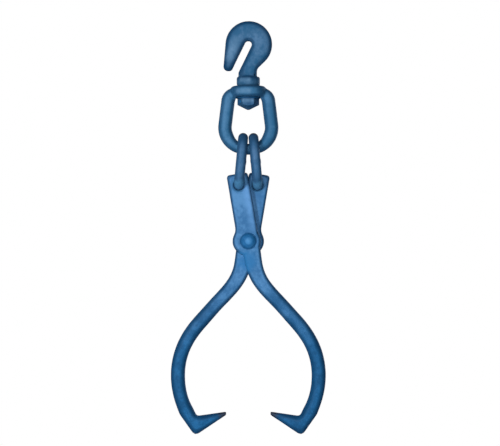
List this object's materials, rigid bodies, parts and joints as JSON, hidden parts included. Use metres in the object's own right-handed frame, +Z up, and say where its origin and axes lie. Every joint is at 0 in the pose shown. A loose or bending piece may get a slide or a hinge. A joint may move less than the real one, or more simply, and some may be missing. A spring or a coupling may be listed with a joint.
{
  "type": "lifting tongs",
  "caption": "Forged lifting tongs: crossed arms with inward points on a rivet, hung by oval links from a swivel bow with a chain grab hook, painted blue.",
  "frame": {"origin": "centre of the round end of the hook's slot, on the swivel axis, where the lifting chain's link sits", "axes": "+Z up along the swivel axis, +X to the right and +Y away from the viewer, with the arms spreading along X"},
  "size_m": [0.2214, 0.0622, 0.5897],
  "materials": {
    "hook_paint": "satin blue paint over a forged surface",
    "bow_paint": "satin blue paint over a forged surface",
    "nut_paint": "satin blue paint",
    "link_paint": "satin blue paint on welded round bar",
    "arm_paint": "satin blue paint over a forged surface, darker at the points",
    "rivet_paint": "satin blue paint on a formed rivet head",
    "washer_steel": "thin blue paint over plain steel"
  },
  "bodies": {
    "hook": {"grab_hook": "hook_paint", "swivel_nut": "nut_paint", "swivel_washer": "washer_steel", "nut_lock_pin": "washer_steel"},
    "bow": {"swivel_bow": "bow_paint"},
    "link_left": {"left_link": "link_paint"},
    "arm_front": {"front_arm": "arm_paint", "pivot_rivet": "rivet_paint", "rivet_washer": "washer_steel"},
    "arm_rear": {"rear_arm": "arm_paint"},
    "link_right": {"right_link": "link_paint"}
  },
  "joints": [
    {"name": "hook_swivel", "type": "hinge", "parent": "hook", "child": "bow", "pos_m": [0, 0, -0.0675], "axis": [0, 0, 1], "continuous": true},
    {"name": "left_link_swing", "type": "hinge", "parent": "bow", "child": "link_left", "pos_m": [-0.0074, 0, -0.12983], "axis": [0, 1, 0], "range_deg": [0, 53]},
    {"name": "front_arm_turn", "type": "hinge", "parent": "link_left", "child": "arm_front", "pos_m": [-0.0134, -0.00565, -0.20136], "axis": [0, 1, 0], "range_deg": [-101, 0]},
    {"name": "tong_pivot", "type": "hinge", "parent": "arm_front", "child": "arm_rear", "pos_m": [0, 0, -0.28074], "axis": [0, 1, 0], "range_deg": [0, 96]},
    {"name": "right_link_turn", "type": "hinge", "parent": "arm_rear", "child": "link_right", "pos_m": [0.0134, 0.00565, -0.20136], "axis": [0, 1, 0], "range_deg": [-101, 0]}
  ],
  "couplings": [
    {"joint": "left_link_swing", "follows": "tong_pivot", "ratio": 0.54929},
    {"joint": "front_arm_turn", "follows": "tong_pivot", "ratio": -1.0493},
    {"joint": "right_link_turn", "follows": "tong_pivot", "ratio": -1.0493}
  ]
}
